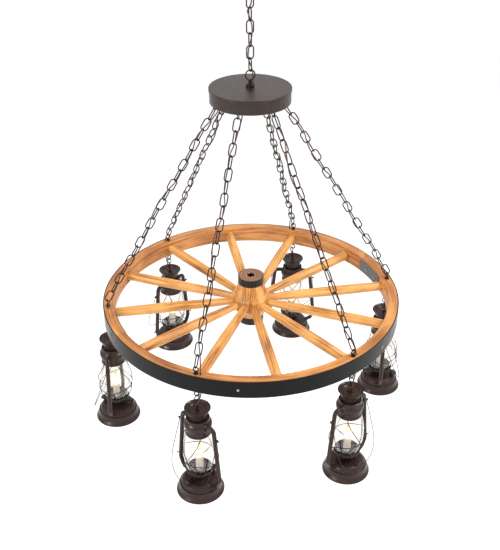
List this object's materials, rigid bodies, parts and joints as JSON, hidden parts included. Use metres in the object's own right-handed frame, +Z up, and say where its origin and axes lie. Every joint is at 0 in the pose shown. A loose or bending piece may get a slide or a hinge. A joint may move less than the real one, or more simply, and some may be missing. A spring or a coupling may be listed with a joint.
{
  "type": "multi arm chandelier",
  "caption": "Spoked wagon wheel hung level on chains from a round wiring pan and ceiling canopy, with electric storm lanterns on eyebolts under its rim.",
  "frame": {"origin": "centre of the ceiling canopy's mounting face, on the wheel's axis", "axes": "+Z up out of the ceiling face; +X towards the first lantern hook, and azimuth counts anticlockwise seen from above"},
  "size_m": [1.031, 0.9359, 1.4046],
  "materials": {
    "bronze": "satin oil-rubbed bronze",
    "chain": "dark bronze wire, satin",
    "oak": "oiled oak",
    "tyre_steel": "black, semi-gloss",
    "band_steel": "black, satin",
    "plate_steel": "dull rolled steel",
    "lantern_metal": "aged bronze lacquer",
    "clear_glass": "clear",
    "ivory": "matt sleeve and warm bulb",
    "wire": "brown insulated wire"
  },
  "bodies": {
    "ceiling_mount": {"ceiling_canopy": "bronze", "ceiling_strap": "plate_steel", "ceiling_loop": "bronze"},
    "top_link": {"main_link": "chain"},
    "chandelier": {"main_chain": "chain", "pan_lid": "bronze", "pan_drum": "bronze", "pan_loop": "bronze", "eyebolts": "chain", "hub": "oak", "hub_bands": "band_steel", "spokes": "oak", "felloe_a": "oak", "felloe_b": "oak", "felloe_plates": "plate_steel", "tyre": "tyre_steel", "fasteners": "plate_steel", "lamp_wires": "wire", "chain_1": "chain", "chain_2": "chain", "chain_3": "chain", "chain_4": "chain", "chain_5": "chain", "chain_6": "chain"},
    "lantern_1": {"lantern_1_frame": "lantern_metal", "lantern_1_globe": "clear_glass", "lantern_1_gallery": "lantern_metal", "lantern_1_lamp": "ivory"},
    "bail_1": {"lantern_1_bail": "lantern_metal"},
    "knob_1": {"lantern_1_knob": "lantern_metal"},
    "lantern_2": {"lantern_2_frame": "lantern_metal", "lantern_2_globe": "clear_glass", "lantern_2_gallery": "lantern_metal", "lantern_2_lamp": "ivory"},
    "bail_2": {"lantern_2_bail": "lantern_metal"},
    "knob_2": {"lantern_2_knob": "lantern_metal"},
    "lantern_3": {"lantern_3_frame": "lantern_metal", "lantern_3_globe": "clear_glass", "lantern_3_gallery": "lantern_metal", "lantern_3_lamp": "ivory"},
    "bail_3": {"lantern_3_bail": "lantern_metal"},
    "knob_3": {"lantern_3_knob": "lantern_metal"},
    "lantern_4": {"lantern_4_frame": "lantern_metal", "lantern_4_globe": "clear_glass", "lantern_4_gallery": "lantern_metal", "lantern_4_lamp": "ivory"},
    "bail_4": {"lantern_4_bail": "lantern_metal"},
    "knob_4": {"lantern_4_knob": "lantern_metal"},
    "lantern_5": {"lantern_5_frame": "lantern_metal", "lantern_5_globe": "clear_glass", "lantern_5_gallery": "lantern_metal", "lantern_5_lamp": "ivory"},
    "bail_5": {"lantern_5_bail": "lantern_metal"},
    "knob_5": {"lantern_5_knob": "lantern_metal"},
    "lantern_6": {"lantern_6_frame": "lantern_metal", "lantern_6_globe": "clear_glass", "lantern_6_gallery": "lantern_metal", "lantern_6_lamp": "ivory"},
    "bail_6": {"lantern_6_bail": "lantern_metal"},
    "knob_6": {"lantern_6_knob": "lantern_metal"}
  },
  "joints": [
    {"name": "link_swing", "type": "hinge", "parent": "ceiling_mount", "child": "top_link", "pos_m": [0, 0, -0.07282], "axis": [-0.1736, 0.9848, 0], "range_deg": [-10, 10]},
    {"name": "chandelier_swing", "type": "hinge", "parent": "top_link", "child": "chandelier", "pos_m": [0, 0, -0.10673], "axis": [0.9848, 0.1736, 0], "range_deg": [-10, 10]},
    {"name": "lantern_1_swing", "type": "hinge", "parent": "chandelier", "child": "lantern_1", "pos_m": [0.442, 0, -1.06225], "axis": [0, 1, 0], "range_deg": [-20, 20]},
    {"name": "bail_1_lift", "type": "hinge", "parent": "lantern_1", "child": "bail_1", "pos_m": [0.442, 0, -1.181], "axis": [-0.2419, -0.9703, 0], "range_deg": [0, 95]},
    {"name": "knob_1_turn", "type": "hinge", "parent": "lantern_1", "child": "knob_1", "pos_m": [0.442, 0, -1.347], "axis": [-0.9703, 0.2419, 0], "continuous": true},
    {"name": "lantern_2_swing", "type": "hinge", "parent": "chandelier", "child": "lantern_2", "pos_m": [0.221, 0.38278, -1.06225], "axis": [-0.866, 0.5, 0], "range_deg": [-20, 20]},
    {"name": "bail_2_lift", "type": "hinge", "parent": "lantern_2", "child": "bail_2", "pos_m": [0.221, 0.38278, -1.181], "axis": [0.9659, -0.2588, 0], "range_deg": [0, 95]},
    {"name": "knob_2_turn", "type": "hinge", "parent": "lantern_2", "child": "knob_2", "pos_m": [0.221, 0.38278, -1.347], "axis": [0.2588, 0.9659, 0], "continuous": true},
    {"name": "lantern_3_swing", "type": "hinge", "parent": "chandelier", "child": "lantern_3", "pos_m": [-0.221, 0.38278, -1.06225], "axis": [-0.866, -0.5, 0], "range_deg": [-20, 20]},
    {"name": "bail_3_lift", "type": "hinge", "parent": "lantern_3", "child": "bail_3", "pos_m": [-0.221, 0.38278, -1.181], "axis": [0.766, 0.6428, 0], "range_deg": [0, 95]},
    {"name": "knob_3_turn", "type": "hinge", "parent": "lantern_3", "child": "knob_3", "pos_m": [-0.221, 0.38278, -1.347], "axis": [0.6428, -0.766, 0], "continuous": true},
    {"name": "lantern_4_swing", "type": "hinge", "parent": "chandelier", "child": "lantern_4", "pos_m": [-0.442, 0, -1.06225], "axis": [0, -1, 0], "range_deg": [-20, 20]},
    {"name": "bail_4_lift", "type": "hinge", "parent": "lantern_4", "child": "bail_4", "pos_m": [-0.442, 0, -1.181], "axis": [0.309, 0.9511, 0], "range_deg": [0, 95]},
    {"name": "knob_4_turn", "type": "hinge", "parent": "lantern_4", "child": "knob_4", "pos_m": [-0.442, 0, -1.347], "axis": [0.9511, -0.309, 0], "continuous": true},
    {"name": "lantern_5_swing", "type": "hinge", "parent": "chandelier", "child": "lantern_5", "pos_m": [-0.221, -0.38278, -1.06225], "axis": [0.866, -0.5, 0], "range_deg": [-20, 20]},
    {"name": "bail_5_lift", "type": "hinge", "parent": "lantern_5", "child": "bail_5", "pos_m": [-0.221, -0.38278, -1.181], "axis": [-0.6018, 0.7986, 0], "range_deg": [0, 95]},
    {"name": "knob_5_turn", "type": "hinge", "parent": "lantern_5", "child": "knob_5", "pos_m": [-0.221, -0.38278, -1.347], "axis": [-0.7986, -0.6018, 0], "continuous": true},
    {"name": "lantern_6_swing", "type": "hinge", "parent": "chandelier", "child": "lantern_6", "pos_m": [0.221, -0.38278, -1.06225], "axis": [0.866, 0.5, 0], "range_deg": [-20, 20]},
    {"name": "bail_6_lift", "type": "hinge", "parent": "lantern_6", "child": "bail_6", "pos_m": [0.221, -0.38278, -1.181], "axis": [-0.848, -0.5299, 0], "range_deg": [0, 95]},
    {"name": "knob_6_turn", "type": "hinge", "parent": "lantern_6", "child": "knob_6", "pos_m": [0.221, -0.38278, -1.347], "axis": [0.5299, -0.848, 0], "continuous": true}
  ]
}
